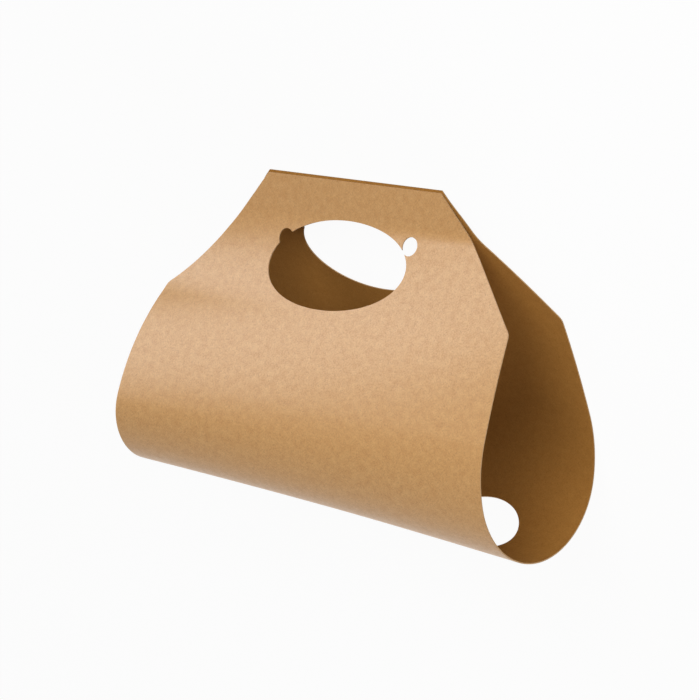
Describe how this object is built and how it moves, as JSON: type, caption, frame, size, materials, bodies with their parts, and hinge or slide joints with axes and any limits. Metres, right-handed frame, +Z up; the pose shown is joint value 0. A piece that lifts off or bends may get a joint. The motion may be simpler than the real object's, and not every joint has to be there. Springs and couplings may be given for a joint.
{
  "type": "cardboard cup carrier",
  "caption": "Sheet of brown paperboard bent into a loop, with a two-ply top handle, an oval hand hole and round cup holes in its floor; lies on its back panel.",
  "frame": {"origin": "centre of the bounding box's bottom, on the surface that the carrier lies on", "axes": "+Z up as it lies on its back panel; +Y from the rounded floor to the handle; +X along the carrier, to the open end on the right as its front panel is looked at"},
  "size_m": [0.2334, 0.1638, 0.1072],
  "materials": {
    "kraft_board": "matt, unbleached, fine fibre"
  },
  "bodies": {
    "root": {"folded_sheet": "kraft_board"}
  },
  "joints": []
}
